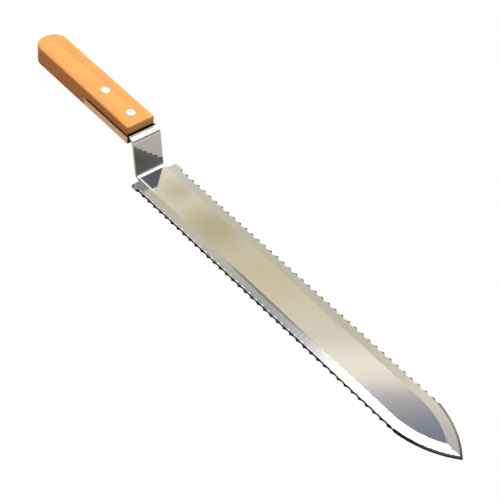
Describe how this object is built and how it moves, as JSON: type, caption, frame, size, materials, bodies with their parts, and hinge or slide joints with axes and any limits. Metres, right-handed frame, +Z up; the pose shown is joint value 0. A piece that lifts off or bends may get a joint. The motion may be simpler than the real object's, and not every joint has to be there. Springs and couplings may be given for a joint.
{
  "type": "uncapping knife",
  "caption": "Long double-edged serrated blade with a pointed end, on a cranked tang riveted into a slotted wooden handle, for slicing wax caps off honeycomb.",
  "frame": {"origin": "under the middle of the whole length, on the flat surface that the blade lies on", "axes": "+X from the handle's butt to the blade's tip, +Z up from the blade towards the handle"},
  "size_m": [0.4038, 0.0368, 0.0356],
  "materials": {
    "blade_steel": "bright polished sheet with fine grinding lines on the bevels",
    "varnished_wood": "smooth light orange hardwood with clear varnish",
    "rivet_metal": "bright, slightly domed heads"
  },
  "bodies": {
    "root": {"blade": "blade_steel", "handle": "varnished_wood", "rivet_front_male": "rivet_metal", "rivet_front_female": "rivet_metal", "rivet_rear_male": "rivet_metal", "rivet_rear_female": "rivet_metal"}
  },
  "joints": []
}
